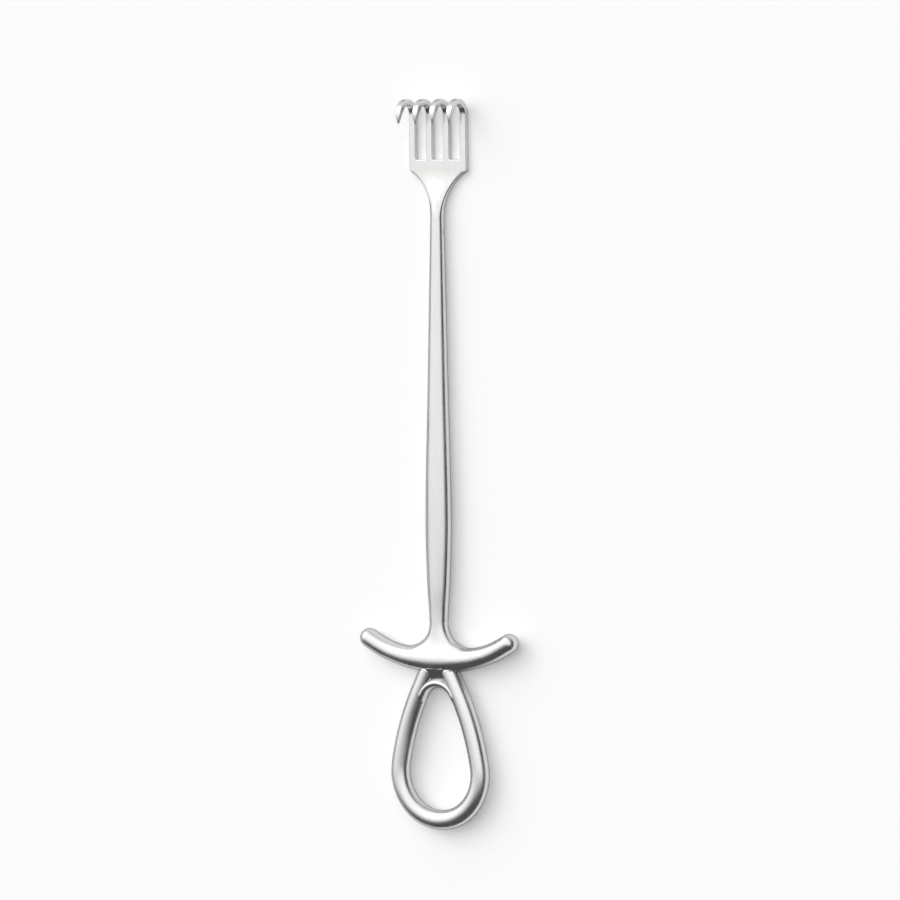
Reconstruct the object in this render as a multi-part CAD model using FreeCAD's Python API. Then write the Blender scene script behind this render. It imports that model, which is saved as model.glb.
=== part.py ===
import FreeCAD, Part
import math
import os

# A four-prong rake retractor, lying on its back with the hooks up. Lengths are millimetres.
# +X runs from the finger loop to the prongs, +Y across the instrument, +Z up.
# The origin is under the middle of the whole instrument, on the plane that it rests on.
# A station is a distance along the instrument, measured from the far end of the finger loop.

Vector = FreeCAD.Vector
ALONG = Vector(1, 0, 0)
ACROSS = Vector(0, 1, 0)
UP = Vector(0, 0, 1)
TIP_AIM = Vector(-1, 0, 0.2)

# Finger loop, bent from oval rod
loop_rod_width = 6.0
loop_rod_thickness = 5.2
opening_width = 22.5
opening_length = 37.0
opening_top_radius = 4.8
flank_turn = 9.0

# Saddle between the loop's limbs, under the crossbar
saddle_height = 4.3
saddle_rim_width = 3.0
saddle_rim_thickness = 5.0
saddle_web_thickness = 4.2

# Finger crossbar
bar_span = 56.0
bar_underside_radius = 51.2
bar_end_diameter = 5.9
wing_root_height = 6.5
hub_height = 8.4
hub_depth = 7.2
foot_rise = 11.5
foot_flare_radius = 7.2
foot_flare_turn = 84.0

# Shaft, oval in section, with a square tang at its foot
shaft_length = 121.0
waist_width = 6.0
waist_thickness = 5.0
taper_rise = 11.0
taper_width = 7.4
taper_thickness = 5.6
swell_rise = 29.5
swell_width = 8.6
swell_thickness = 5.8
middle_rise = 72.0
middle_width = 6.65
middle_thickness = 4.9
neck_width = 4.4
neck_thickness = 3.6
tang_side = 2.8
tang_end_cover = 1.6

# Rake head
shank_length = 14.6
shoulder_radius = 15.0
plate_root_length = 3.4
plate_thickness = 1.7
prong_count = 4
prong_width = 2.15
slot_width = 3.9
slot_corner_radius = 0.5
prong_length = 18.0
hook_reach = 9.4
hook_drop = 7.2
hook_front_thickness = 1.25
hook_tip_set = 0.4
leaf_waist = 0.7
leaf_waist_drop = 4.3
neck_lift = 0.3
spigot_diameter = 2.2
spigot_length = 8.0

# Pins, dowels and fits
head_pin_diameter = 1.0
saddle_pin_diameter = 1.0
dowel_diameter = 1.6
dowel_length = 6.4
fit_clearance = 0.03

# Stations along the instrument
opening_bottom = loop_rod_width
opening_top = opening_bottom + opening_length
bar_underside = opening_top + saddle_height
bar_middle = bar_underside + hub_height / 2
shaft_foot = bar_middle + foot_rise
head_seam = shaft_foot + shaft_length
shoulder = head_seam + shank_length
slot_end = shoulder + plate_root_length
hook_top = slot_end + prong_length
head_width = prong_count * prong_width + (prong_count - 1) * slot_width
handle_level = hub_depth / 2
neck_level = neck_lift + neck_thickness / 2


def place(station, y, z):
    """The point at a station, moved so that the origin is under the instrument's middle."""
    return Vector(station - hook_top / 2, y, z)


def axis_level(station):
    """Height of the shaft's axis, which falls evenly from the handle to the neck."""
    share = (station - bar_middle) / (head_seam - bar_middle)
    return handle_level + share * (neck_level - handle_level)


def oval(middle, first, half_first, second, half_second, squareness=2.0, points=32):
    """A closed smooth outline about a middle: an oval, or a rounded block where squareness is high."""
    outline = []
    for step in range(points):
        angle = 2 * math.pi * step / points
        c, s = math.cos(angle), math.sin(angle)
        a = half_first * math.copysign(abs(c) ** (2 / squareness), c)
        b = half_second * math.copysign(abs(s) ** (2 / squareness), s)
        outline.append(middle + first * a + second * b)
    curve = Part.BSplineCurve()
    curve.interpolate(outline, PeriodicFlag=True)
    return Part.Wire([curve.toShape()])


def oval_across(station, width, low, high, squareness=2.0):
    """An oval square to the instrument's length, between two levels."""
    middle = place(station, 0, (low + high) / 2)
    return oval(middle, ACROSS, width / 2, UP, (high - low) / 2, squareness)


def centred_oval(station, width, thickness):
    """An oval outline with its middle on the shaft's axis."""
    level = axis_level(station)
    return oval_across(station, width, level - thickness / 2, level + thickness / 2)


def slab(outline, low, high):
    """A flat plate between two levels, from a closed wire drawn at level 0."""
    return Part.Face(outline.translated(UP * low)).extrude(UP * (high - low))


def body_of(shape):
    """The one solid of a joined or cut shape, without the offcuts of its blank."""
    return max(shape.removeSplitter().Solids, key=lambda solid: solid.Volume)


def square_bar(low_station, high_station, side):
    """A square bar on the shaft's axis."""
    start = place(low_station, -side / 2, handle_level - side / 2)
    return Part.makeBox(high_station - low_station, side, side, start)


def round_bar(start, direction, length, diameter):
    """A round pin or bore from a point."""
    return Part.makeCylinder(diameter / 2, length, start, direction)


def loop_path():
    """The +Y half of the loop's centre line, as stations and distances across.

    The bottom bend turns flank_turn degrees past the loop's widest place. The flank is one arc that
    leaves the bottom bend and meets the circle round the opening's top, smoothly at both. From that
    meeting, where the rod's width points along aim, the limb runs straight up to the crossbar.
    """
    bottom_radius = opening_width / 2 + loop_rod_width / 2
    top_radius = opening_top_radius + loop_rod_width / 2
    bottom_middle = loop_rod_width / 2 + bottom_radius
    top_middle = opening_top - opening_top_radius
    turn = math.radians(flank_turn)
    distance = top_middle - bottom_middle
    shrink = bottom_radius - top_radius
    reach = (distance**2 - shrink**2) / (2 * (shrink - distance * math.sin(turn)))
    flank_middle = (bottom_middle - reach * math.sin(turn), -reach * math.cos(turn))
    flank_radius = bottom_radius + reach
    aim = math.atan2(-flank_middle[1], top_middle - flank_middle[0])
    meet = (flank_middle[0] + flank_radius * math.cos(aim), flank_middle[1] + flank_radius * math.sin(aim))
    return bottom_middle, bottom_radius, flank_middle, meet, aim


def rod_section(station, y, across_angle):
    """The rod's oval section, its width turned to an angle from +X."""
    across_rod = Vector(math.cos(across_angle), math.sin(across_angle), 0)
    middle = place(station, y, handle_level)
    return Part.Face(oval(middle, across_rod, loop_rod_width / 2, UP, loop_rod_thickness / 2))


def loop_limb():
    """The +Y half of the bent rod, from the middle of the bottom bend into the crossbar."""
    bottom_middle, bottom_radius, flank_middle, meet, aim = loop_path()
    bend = rod_section(bottom_middle - bottom_radius, 0, math.pi)
    bend = bend.revolve(place(bottom_middle, 0, 0), UP, -90 - flank_turn)
    flank_angle = 90 - flank_turn - math.degrees(aim)
    flank = rod_section(meet[0], meet[1], aim)
    flank = flank.revolve(place(flank_middle[0], flank_middle[1], 0), UP, flank_angle)
    run = (bar_middle - meet[0]) / math.sin(aim)
    straight = rod_section(meet[0], meet[1], aim).extrude(Vector(math.sin(aim), -math.cos(aim), 0) * run)
    return [bend, flank, straight]


def loop_rod():
    """The whole bent rod; its limbs run on into the crossbar before they are fitted to it."""
    limb = loop_limb()
    other = [piece.mirror(Vector(0, 0, 0), ACROSS) for piece in limb]
    return body_of(limb[0].fuse(limb[1:] + other))


def saddle_blank():
    """The rounded rim over the opening, with a thinner web that fills the fork up to the crossbar.

    The rim ends where the limbs touch the opening's top, and the web's sides lie inside the limbs.
    """
    aim = loop_path()[-1]
    inside_limb = loop_rod_width / 4
    top_middle = opening_top - opening_top_radius
    rim_radius = opening_top_radius + saddle_rim_width / 2
    outward = Vector(math.cos(aim), math.sin(aim), 0)
    rim_end = place(top_middle, 0, handle_level) + outward * rim_radius
    section = Part.Face(oval(rim_end, outward, saddle_rim_width / 2, UP, saddle_rim_thickness / 2))
    rim = section.revolve(place(top_middle, 0, handle_level), UP, -2 * math.degrees(aim))
    corner = (top_middle + rim_radius * math.cos(aim), rim_radius * math.sin(aim))
    top_half = corner[1] - (bar_middle - corner[0]) / math.tan(aim) + inside_limb
    left, right = place(corner[0], -corner[1], 0), place(corner[0], corner[1], 0)
    top_left, top_right = place(bar_middle, -top_half, 0), place(bar_middle, top_half, 0)
    fork = Part.Wire([
        Part.LineSegment(left, top_left).toShape(),
        Part.LineSegment(top_left, top_right).toShape(),
        Part.LineSegment(top_right, right).toShape(),
        Part.Arc(right, place(top_middle + rim_radius, 0, 0), left).toShape(),
    ])
    web = slab(fork, handle_level - saddle_web_thickness / 2, handle_level + saddle_web_thickness / 2)
    return body_of(rim.fuse(web))


def bar_section(angle, overhang, radius, height, depth):
    """An oval across the crossbar, at an angle and a radius of its bend and an overhang past the angle."""
    c, s = math.cos(angle), math.sin(angle)
    middle = place(bar_underside + bar_underside_radius - radius * c + overhang * abs(s),
                   radius * s + math.copysign(overhang, s) * c, handle_level)
    return oval(middle, Vector(c, -s, 0), height / 2, UP, depth / 2)


def crossbar_blank():
    """The bent bar with its thicker hub, rounded ends and the flared foot that meets the shaft.

    The bar's underside is one arc, so the hub's extra height all stands on the shaft's side.
    """
    end_radius = bar_end_diameter / 2
    end_bend = bar_underside_radius - end_radius
    end_angle = math.asin((bar_span / 2 - end_radius) / end_bend)
    half = []
    wing_steps = 6
    for step in range(1, wing_steps + 1):
        share = step / wing_steps
        hub_share = math.cos(math.pi / 2 * share) ** 4
        wing_height = wing_root_height + share * (bar_end_diameter - wing_root_height)
        height = wing_height + hub_share * (hub_height - wing_root_height)
        depth = bar_end_diameter + hub_share * (hub_depth - bar_end_diameter)
        half.append((share * end_angle, 0.0, bar_underside_radius - height / 2, height, depth))
    cap_steps = 5
    cap_end = math.radians(87)
    for step in range(1, cap_steps + 1):
        cap = cap_end * step / cap_steps
        size = bar_end_diameter * math.cos(cap)
        half.append((end_angle, end_radius * math.sin(cap), end_bend, size, size))
    left = [bar_section(-angle, *sizes) for angle, *sizes in reversed(half)]
    right = [bar_section(angle, *sizes) for angle, *sizes in half]
    hub = bar_section(0.0, 0.0, bar_underside_radius - hub_height / 2, hub_height, hub_depth)
    bar = Part.makeLoft(left + [hub] + right, True)
    return body_of(bar.fuse(crossbar_foot()))


def crossbar_foot():
    """The foot flares round a quarter bend from the shaft's waist down into the bar."""
    sections = []
    flare_steps = 5
    flare_end = math.radians(foot_flare_turn)
    for step in range(flare_steps + 1):
        angle = flare_end * step / flare_steps
        drop = foot_flare_radius * math.sin(angle)
        width = waist_width + 2 * foot_flare_radius * (1 - math.cos(angle))
        depth = waist_thickness + (hub_depth - waist_thickness) * drop / foot_rise
        sections.append(centred_oval(shaft_foot - drop, width, depth))
    last_width = waist_width + 2 * foot_flare_radius * (1 - math.cos(flare_end))
    sections.append(oval_across(bar_middle, last_width, 0.0, hub_depth))
    return Part.makeLoft(sections, True)


def shaft_blank():
    """The oval shaft: widest a little above the handle, and thinnest at the neck."""
    sections = [
        centred_oval(shaft_foot, waist_width, waist_thickness),
        centred_oval(shaft_foot + taper_rise, taper_width, taper_thickness),
        centred_oval(shaft_foot + swell_rise, swell_width, swell_thickness),
        centred_oval(shaft_foot + middle_rise, middle_width, middle_thickness),
        centred_oval(head_seam, neck_width, neck_thickness),
    ]
    return Part.makeLoft(sections, True)


def shank_blank():
    """The head's shank: oval at the shaft, flattening to the plate, and wider than its shoulders."""
    oval_squareness = 2.0
    plate_squareness = 8.0
    blank_width = 2 * head_width
    spread_power = 2.5
    sections = [oval_across(head_seam, neck_width, neck_lift, neck_lift + neck_thickness)]
    shank_steps = 4
    for step in range(1, shank_steps + 1):
        share = step / shank_steps
        spread = share ** spread_power
        ease = 0.5 - 0.5 * math.cos(math.pi * share)
        low = neck_lift * (1 - ease)
        high = (neck_lift + neck_thickness) * (1 - ease) + plate_thickness * ease
        width = neck_width + spread * (blank_width - neck_width)
        squareness = oval_squareness + spread * (plate_squareness - oval_squareness)
        sections.append(oval_across(head_seam + share * shank_length, width, low, high, squareness))
    return Part.makeLoft(sections, True)


def shoulder_outline():
    """Plan of the head behind the slots: hollow shoulders that leave the neck smoothly."""
    half_neck = neck_width / 2
    half_head = head_width / 2
    spread = half_head - half_neck
    run = math.sqrt(2 * shoulder_radius * spread - spread**2)
    tangent = shoulder - run
    half_angle = math.asin(run / shoulder_radius) / 2
    bend_station = tangent + shoulder_radius * math.sin(half_angle)
    bend_half = half_neck + shoulder_radius * (1 - math.cos(half_angle))
    start = [place(tangent, side * half_neck, 0) for side in (-1, 1)]
    bend = [place(bend_station, side * bend_half, 0) for side in (-1, 1)]
    corner = [place(shoulder, side * half_head, 0) for side in (-1, 1)]
    # Behind the shoulders the outline stands clear of the neck, which is oval there.
    back = [place(head_seam, side * neck_width, 0) for side in (-1, 1)]
    step = [place(tangent, side * neck_width, 0) for side in (-1, 1)]
    return Part.Wire([
        Part.LineSegment(back[0], step[0]).toShape(),
        Part.LineSegment(step[0], start[0]).toShape(),
        Part.Arc(start[0], bend[0], corner[0]).toShape(),
        Part.LineSegment(corner[0], corner[1]).toShape(),
        Part.Arc(corner[1], bend[1], start[1]).toShape(),
        Part.LineSegment(start[1], step[1]).toShape(),
        Part.LineSegment(step[1], back[1]).toShape(),
        Part.LineSegment(back[1], back[0]).toShape(),
    ])


def hook_profile():
    """Side view of one prong from the slot's end: straight, over the bend and thinning to its point."""
    radius = hook_reach / 2
    bend = hook_top - radius
    tip = hook_top - hook_drop
    tip_level = hook_reach - hook_tip_set
    half_way = (bend + tip) / 2
    crown = place(hook_top - plate_thickness, 0, radius)
    inner = Part.BSplineCurve()
    under_top = place(bend, 0, hook_reach - hook_front_thickness)
    over_top = place(bend, 0, hook_reach)
    point = place(tip, 0, tip_level)
    inner.interpolate([crown, under_top, point], InitialTangent=UP, FinalTangent=TIP_AIM)
    quarter = math.sqrt(0.5) * (radius - plate_thickness)
    inside_bend = place(bend + quarter, 0, radius - quarter)
    return Part.Face(Part.Wire([
        Part.LineSegment(place(slot_end, 0, 0), place(bend, 0, 0)).toShape(),
        Part.Arc(place(bend, 0, 0), place(hook_top, 0, radius), over_top).toShape(),
        Part.Arc(over_top, place(half_way, 0, hook_reach - hook_tip_set / 4), point).toShape(),
        inner.toShape(),
        Part.Arc(crown, inside_bend, place(bend, 0, plate_thickness)).toShape(),
        Part.LineSegment(place(bend, 0, plate_thickness), place(slot_end, 0, plate_thickness)).toShape(),
        Part.LineSegment(place(slot_end, 0, plate_thickness), place(slot_end, 0, 0)).toShape(),
    ]))


def point_mask():
    """What one prong may fill: all of it at the back, and a leaf that narrows to a point in front."""
    half = prong_width / 2
    waist = half * leaf_waist
    level = hook_reach / 2
    tip = hook_top - hook_drop
    middle = hook_top - leaf_waist_drop
    back_start = place(slot_end - half, -half, -half)
    back = Part.makeBox(hook_top - slot_end + 2 * half, prong_width, level + half, back_start)
    leaf = Part.Wire([
        Part.Arc(place(hook_top, half, 0), place(middle, waist, 0), place(tip, 0, 0)).toShape(),
        Part.Arc(place(tip, 0, 0), place(middle, -waist, 0), place(hook_top, -half, 0)).toShape(),
        Part.LineSegment(place(hook_top, -half, 0), place(hook_top, half, 0)).toShape(),
    ])
    return back.fuse(slab(leaf, level, 2 * hook_reach))


def prong(y):
    """One hooked prong with its middle at y."""
    body = hook_profile().extrude(ACROSS * prong_width).translated(ACROSS * (-prong_width / 2))
    return body.common(point_mask()).translated(ACROSS * y)


def plate_root():
    """The flat plate behind the slots, with the slots' rounded inner corners."""
    corner = slot_corner_radius
    length = slot_end + corner - shoulder
    root = Part.makeBox(length, head_width, plate_thickness, place(shoulder, -head_width / 2, 0))
    pitch = prong_width + slot_width
    slots = []
    for index in range(prong_count - 1):
        low_side = (index - (prong_count - 1) / 2) * pitch + prong_width / 2
        start = place(slot_end, low_side, -plate_thickness)
        slot = Part.makeBox(prong_length, slot_width, 3 * plate_thickness, start)
        inner_edges = [edge for edge in slot.Edges
                       if edge.BoundBox.ZLength > plate_thickness and edge.BoundBox.XMax < start.x + corner]
        slots.append(slot.makeFillet(corner, inner_edges))
    return root.cut(slots)


def rake_head():
    """Plate, shank, spigot and hooked prongs, cut from one piece."""
    shoulders = slab(shoulder_outline(), -neck_thickness, 2 * neck_thickness)
    shank = shank_blank().common(shoulders)
    pitch = prong_width + slot_width
    prongs = [prong((index - (prong_count - 1) / 2) * pitch) for index in range(prong_count)]
    head = body_of(shank.fuse([plate_root()] + prongs))
    spigot_start = place(head_seam - spigot_length, 0, neck_level)
    spigot = round_bar(spigot_start, ALONG, spigot_length, spigot_diameter)
    return body_of(head.fuse(spigot).cut(head_pin_bore()))


def pin_station():
    """The head pin crosses the middle of the spigot."""
    return head_seam - spigot_length / 2


def head_pin_bore():
    """Bore for the head pin, right through the shaft and the spigot."""
    start = place(pin_station(), -neck_width, neck_level)
    return round_bar(start, ACROSS, 2 * neck_width, head_pin_diameter + 2 * fit_clearance)


def shaft():
    """Shaft with the spigot's socket in its neck and the square tang on its foot."""
    tang = square_bar(opening_top + tang_end_cover, shaft_foot + waist_thickness, tang_side)
    socket = round_bar(place(head_seam - spigot_length - fit_clearance, 0, neck_level), ALONG,
                       2 * spigot_length, spigot_diameter + 2 * fit_clearance)
    body = body_of(shaft_blank().fuse(tang))
    return body_of(body.cut([socket, head_pin_bore(), saddle_pin_bore()]))


def head_pin():
    """Cross pin, dressed flush with the shaft's sides."""
    start = place(pin_station(), -neck_width, neck_level)
    pin = round_bar(start, ACROSS, 2 * neck_width, head_pin_diameter)
    return body_of(pin.common(shaft_blank()))


def tang_socket():
    """The square way that the tang fills, from the shaft's foot to its end in the saddle."""
    side = tang_side + 2 * fit_clearance
    return square_bar(opening_top + tang_end_cover - fit_clearance, shaft_foot + side, side)


def dowels(diameter):
    """The two dowels that join the loop's limbs to the crossbar, in the middle of each limb."""
    meet, aim = loop_path()[-2:]
    offset = meet[1] - (bar_underside - meet[0]) / math.tan(aim)
    start = bar_underside - dowel_length / 2
    return [round_bar(place(start, side * offset, handle_level), ALONG, dowel_length, diameter)
            for side in (-1, 1)]


def saddle_pin_station():
    """The saddle pin crosses the tang half-way down the saddle."""
    return opening_top + (tang_end_cover + saddle_height) / 2


def saddle_pin_bore():
    """Bore for the saddle pin, front to back."""
    start = place(saddle_pin_station(), 0, -hub_depth)
    return round_bar(start, UP, 3 * hub_depth, saddle_pin_diameter + 2 * fit_clearance)


def finger_crossbar():
    """Crossbar bored for the tang and the dowels."""
    return body_of(crossbar_blank().cut([tang_socket()] + dowels(dowel_diameter + 2 * fit_clearance)))


def finger_loop():
    """Bent rod, its limbs fitted to the crossbar's underside."""
    loop = body_of(loop_rod().cut(crossbar_blank()))
    return body_of(loop.cut([tang_socket()] + dowels(dowel_diameter + 2 * fit_clearance)))


def loop_saddle():
    """Saddle fitted between the limbs and the crossbar, with the tang's socket and pin bore."""
    saddle = body_of(saddle_blank().cut([loop_rod(), crossbar_blank()]))
    holes = [tang_socket(), saddle_pin_bore()] + dowels(dowel_diameter + 2 * fit_clearance)
    return body_of(saddle.cut(holes))


def saddle_pin():
    """Cross pin through the saddle and the tang, dressed flush."""
    start = place(saddle_pin_station(), 0, -hub_depth)
    pin = round_bar(start, UP, 3 * hub_depth, saddle_pin_diameter)
    return body_of(pin.common(saddle_blank()))


def loop_dowels():
    """Both dowels, as one group."""
    return Part.makeCompound(dowels(dowel_diameter))


def main():
    os.makedirs("parts", exist_ok=True)
    pieces = {
        "rake_head": rake_head(),
        "head_pin": head_pin(),
        "shaft": shaft(),
        "finger_crossbar": finger_crossbar(),
        "finger_loop": finger_loop(),
        "loop_saddle": loop_saddle(),
        "loop_dowels": loop_dowels(),
        "saddle_pin": saddle_pin(),
    }
    for name, shape in pieces.items():
        shape.exportStep("parts/" + name + ".step")
        box = shape.optimalBoundingBox()
        print(name, "solids", len(shape.Solids), "valid", shape.isValid(), "volume", round(shape.Volume, 1),
              "x", round(box.XMin, 2), round(box.XMax, 2), "y", round(box.YMin, 2), round(box.YMax, 2),
              "z", round(box.ZMin, 2), round(box.ZMax, 2))


main()
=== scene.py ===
"""A four-prong rake retractor in satin steel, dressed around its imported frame.

Lengths are metres. +X runs from the finger loop to the prongs, +Y across, +Z up, with the hooks up.
A station is a distance along the instrument, measured from the far end of the finger loop.
"""
from math import asin, atan2, copysign, cos, hypot, pi, radians, sin, sqrt, tan
from types import SimpleNamespace

import bmesh
import bpy
from bpy.props import FloatProperty, FloatVectorProperty, IntProperty, PointerProperty
from bpy.types import Node, NodeSocket, Operator, Panel, PropertyGroup
from mathutils import Matrix, Quaternion, Vector


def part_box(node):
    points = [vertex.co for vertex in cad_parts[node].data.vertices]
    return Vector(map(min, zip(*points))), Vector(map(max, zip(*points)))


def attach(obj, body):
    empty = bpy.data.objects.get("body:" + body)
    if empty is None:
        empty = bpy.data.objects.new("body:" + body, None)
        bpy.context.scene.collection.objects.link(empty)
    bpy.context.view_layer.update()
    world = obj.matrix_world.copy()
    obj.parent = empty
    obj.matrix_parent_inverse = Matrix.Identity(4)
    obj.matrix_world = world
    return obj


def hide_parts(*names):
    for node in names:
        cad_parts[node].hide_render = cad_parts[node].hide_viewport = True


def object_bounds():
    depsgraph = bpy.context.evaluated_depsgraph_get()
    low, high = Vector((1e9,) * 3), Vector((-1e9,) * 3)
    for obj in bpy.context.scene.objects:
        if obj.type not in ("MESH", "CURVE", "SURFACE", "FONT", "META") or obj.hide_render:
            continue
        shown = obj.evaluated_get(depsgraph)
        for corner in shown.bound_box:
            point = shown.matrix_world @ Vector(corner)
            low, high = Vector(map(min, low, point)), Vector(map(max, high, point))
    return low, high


bl_info = {
    "name": "Rake Retractor",
    "version": (1, 0, 0),
    "blender": (4, 5, 0),
    "location": "View3D > Sidebar > Retractor",
    "description": "Builds a hand-held rake retractor, its satin steel finish and a pale studio",
    "category": "Add Mesh",
}

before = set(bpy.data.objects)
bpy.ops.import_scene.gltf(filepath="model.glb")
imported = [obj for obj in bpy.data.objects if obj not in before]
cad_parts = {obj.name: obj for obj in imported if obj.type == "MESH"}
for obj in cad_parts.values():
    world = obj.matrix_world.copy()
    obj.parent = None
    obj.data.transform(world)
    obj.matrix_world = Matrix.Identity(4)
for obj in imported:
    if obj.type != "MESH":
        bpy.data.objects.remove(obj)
CAD_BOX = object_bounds()
FAR_END = CAD_BOX[0].x
HEAD_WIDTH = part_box("rake_head")[1].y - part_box("rake_head")[0].y
HANDLE_LEVEL = (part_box("finger_loop")[0].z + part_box("finger_loop")[1].z) / 2

ALONG, ACROSS, UP = Vector((1, 0, 0)), Vector((0, 1, 0)), Vector((0, 0, 1))
SQUARE = ((-1, -1), (1, -1), (1, 1), (-1, 1))
MM = 0.001
GRAIN = "grain"
WHITE = (1.0, 1.0, 1.0, 1.0)

# How finely each form is divided
RING_POINTS, BAR_POINTS, EDGE_STEPS, FLAT_POINTS, SLOT_STEPS = 64, 48, 3, 17, 6
BEND_STEPS, FLANK_STEPS, LIMB_STEPS, RIM_STEPS, TAIL_STEPS, WEB_STEPS = 48, 36, 12, 16, 12, 24
WING_STEPS, CAP_STEPS, FLARE_STEPS, SHAFT_STEPS, SHANK_STEPS = 30, 10, 16, 80, 40
STRAIGHT_STEPS, HOOK_STEPS, POINT_STEPS = 8, 44, 12

# Small set values of the forms
TAIL_SINK = 0.2 * MM  # how far the rim's tails sink into the limbs
FOOT_STUB = 3 * MM  # what the foot has above its cut, until it is cut
SOFTEN_ROUNDS, MELT_ROUNDS = 16, 260  # smoothing of the whole crossbar, and where foot and wings meet
MELT_REACH = 1.9  # how far that meeting place reaches, in flare radii
CAP_TURN = radians(88)  # where the crossbar's rounded ends are closed, just before their poles
TANG_SQUARENESS = 24
WALL_TURN = radians(38)  # half the angle of the neck's oval that runs on as one wall of the plate
EDGE_SHARE = 0.45  # the most of a thin section that an edge's radius takes
POINT_STOP = 0.995  # how near a prong's last ring comes to its point
WELD = 0.001 * MM

# Streaks in the steel, as length and width, the depth of their relief and the ranges of noise that show
SMUDGE, HAIRLINE, HAIRLINE_PATCH = (11 * MM, 7 * MM), (30 * MM, 0.12 * MM), (9 * MM, 5 * MM)
HAIRLINE_TURN = radians(6)
RELIEF_DEPTH = 0.004 * MM
MIDDLE_RANGE, TINT_RANGE, HAIRLINE_RANGE, PATCH_RANGE = (0.3, 0.7), (0.7, 1.2), (0.66, 0.72), (0.5, 0.6)

FLOOR_HALF = 3.0
FLOOR_GAP = 0.02 * MM
SENSOR = 36.0


# Settings

def number(name, description, default, **limits):
    return FloatProperty(name=name, description=description, default=default, **limits)


def length(name, description, millimetres):
    """A length, given in millimetres and kept in metres."""
    return number(name, description, millimetres * MM, min=0.0, unit="LENGTH", precision=5)


def angle(name, description, degrees):
    """An angle, given in degrees and kept in radians."""
    return number(name, description, radians(degrees), subtype="ANGLE")


def share(name, description, default):
    """A factor from 0 to 1."""
    return number(name, description, default, min=0.0, max=1.0, subtype="FACTOR")


def colour(name, description, default):
    """A linear colour."""
    return FloatVectorProperty(name=name, description=description, default=default, size=3, min=0.0, max=1.0,
                               subtype="COLOR")


class LoopSizes(PropertyGroup):
    """The bent rod of the finger loop and the saddle between its limbs."""

    rod_width: length("Rod width", "Width of the loop's oval rod, in the loop's plane", 6.0)
    rod_thickness: length("Rod thickness", "Thickness of the rod, square to the loop's plane", 5.2)
    opening_width: length("Opening width", "Widest place of the finger opening", 22.5)
    opening_length: length("Opening length", "Length of the finger opening", 37.0)
    top_radius: length("Top radius", "Radius of the opening's narrow end", 4.8)
    flank_turn: angle("Flank turn", "How far the bottom bend turns past the widest place", 9.0)
    saddle_height: length("Saddle height", "From the opening's top to the crossbar's underside", 4.3)
    rim_width: length("Rim width", "Width of the saddle's rounded rim", 3.0)
    rim_thickness: length("Rim thickness", "Thickness of the saddle's rim", 5.0)
    tail_length: length("Tail length", "How far the rim's ends run on along the limbs", 5.0)
    tail_size: share("Tail size", "Size of the rim at the ends of its tails", 0.45)
    web_thickness: length("Web thickness", "Thickness of the web at the crossbar's underside", 4.3)
    web_slope: angle("Web slope", "How steeply each face of the web falls from the crossbar to the rim", 24.0)
    web_edge: length("Web edge", "Least thickness of the web, at the rim's tails", 0.8)
    web_root: length("Web root", "Greatest thickness of the web, inside the crossbar", 5.6)


class CrossbarSizes(PropertyGroup):
    """The bent finger crossbar and the foot that flares into it."""

    span: length("Span", "From end to end", 56.0)
    underside_radius: length("Underside radius", "Radius of the bar's underside, which is one arc", 51.2)
    end_diameter: length("End diameter", "Thickness of the wings at their rounded ends", 5.9)
    wing_height: length("Wing height", "Height of the wings at the hub, along the instrument", 6.5)
    hub_height: length("Hub height", "Height of the hub, along the instrument", 8.4)
    hub_depth: length("Hub depth", "Thickness of the hub", 7.2)
    foot_rise: length("Foot rise", "From the bar's middle to the shaft's foot", 11.5)
    flare_radius: length("Flare radius", "Radius of the hollow between foot and wing", 7.2)
    flare_turn: angle("Flare turn", "How far the hollow turns from the shaft towards the wing", 84.0)
    foot_fullness: share("Foot fullness", "How flat the foot's section grows on top as it flares", 0.4)
    blend: length("Blend", "Grid size of the skin that joins the bar and its foot", 0.2)


class ShaftSizes(PropertyGroup):
    """The oval shaft's widths and thicknesses at its five stops, and the tang on its foot."""

    length: length("Length", "From the crossbar's foot to the head's seam", 121.0)
    waist_width: length("Waist width", "Width at the foot", 6.0)
    waist_thickness: length("Waist thickness", "Thickness at the foot", 5.0)
    taper_rise: length("Taper rise", "Second stop above the foot", 11.0)
    taper_width: length("Taper width", "Width at the second stop", 7.4)
    taper_thickness: length("Taper thickness", "Thickness at the second stop", 5.6)
    swell_rise: length("Swell rise", "Widest place above the foot", 29.5)
    swell_width: length("Swell width", "Width at the widest place", 8.6)
    swell_thickness: length("Swell thickness", "Thickness at the widest place", 5.8)
    middle_rise: length("Middle rise", "Fourth stop above the foot", 72.0)
    middle_width: length("Middle width", "Width at the fourth stop", 6.65)
    middle_thickness: length("Middle thickness", "Thickness at the fourth stop", 4.9)
    neck_width: length("Neck width", "Width at the head's seam", 4.4)
    neck_thickness: length("Neck thickness", "Thickness at the head's seam", 3.6)
    neck_lift: length("Neck lift", "Height of the neck's underside above the resting plane", 0.3)
    tang_side: length("Tang side", "Side of the square tang inside the crossbar", 2.8)
    tang_cover: length("Tang cover", "Saddle left standing below the tang's end", 1.6)


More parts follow.
